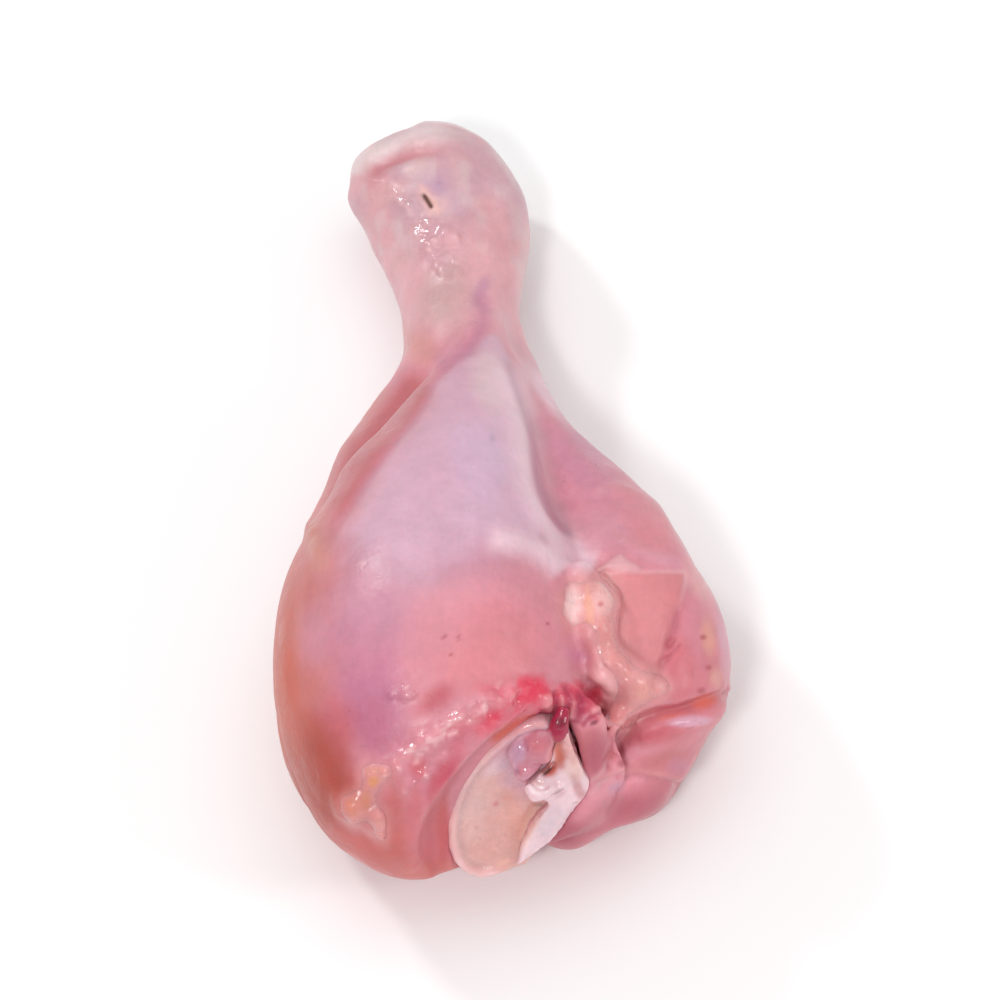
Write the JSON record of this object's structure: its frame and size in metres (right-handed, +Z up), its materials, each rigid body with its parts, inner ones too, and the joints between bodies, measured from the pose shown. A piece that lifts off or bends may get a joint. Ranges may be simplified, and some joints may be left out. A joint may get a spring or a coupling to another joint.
{
  "type": "raw chicken drumstick",
  "caption": "Raw, skinless chicken drumstick on its side: a pear-shaped mass of muscle on a leg bone, cut at the knee, with the ankle knob left on.",
  "frame": {"origin": "bottom centre of the bounding box, on the surface the drumstick lies on", "axes": "+Y along the leg from the cut knee to the ankle knob, +Z up out of the surface, +X to the right as seen from the knee end"},
  "size_m": [0.0594, 0.1212, 0.0437],
  "materials": {
    "meat": "raw pink muscle under a thin, wet, milky membrane",
    "bone": "moist cream-pink bone and cartilage",
    "gristle": "wet white gristle",
    "ligament": "wet purple-pink tissue",
    "fat": "soft, moist, cream-orange fat"
  },
  "bodies": {
    "root": {"meat": "meat", "bone": "bone", "meniscus": "gristle", "ligament": "ligament", "fat_flank": "fat", "fat_belly": "fat"}
  },
  "joints": []
}
